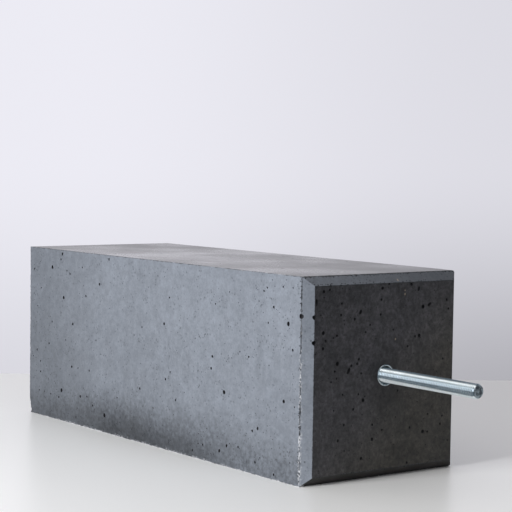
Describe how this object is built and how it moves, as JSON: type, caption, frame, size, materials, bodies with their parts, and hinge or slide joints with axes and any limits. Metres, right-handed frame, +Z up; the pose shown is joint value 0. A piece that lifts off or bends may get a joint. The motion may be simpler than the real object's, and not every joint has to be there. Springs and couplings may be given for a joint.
{
  "type": "column base block",
  "caption": "Square-section cast concrete base block lying on a long side, with a chamfered end and a threaded steel rod standing out of a sleeve in that end.",
  "frame": {"origin": "centre of the block's underside, the long side that it lies on", "axes": "+X along the block towards the end with the rod, +Y across the block, +Z up"},
  "size_m": [0.3715, 0.11, 0.112],
  "materials": {
    "concrete": "fair-faced cast concrete, smooth and matt, with small air holes and crumbly arrises",
    "sleeve_steel": "zinc-plated, dull",
    "rod_steel": "zinc-plated, bright"
  },
  "bodies": {
    "root": {"concrete_block": "concrete", "threaded_sleeve": "sleeve_steel", "threaded_rod": "rod_steel"}
  },
  "joints": []
}
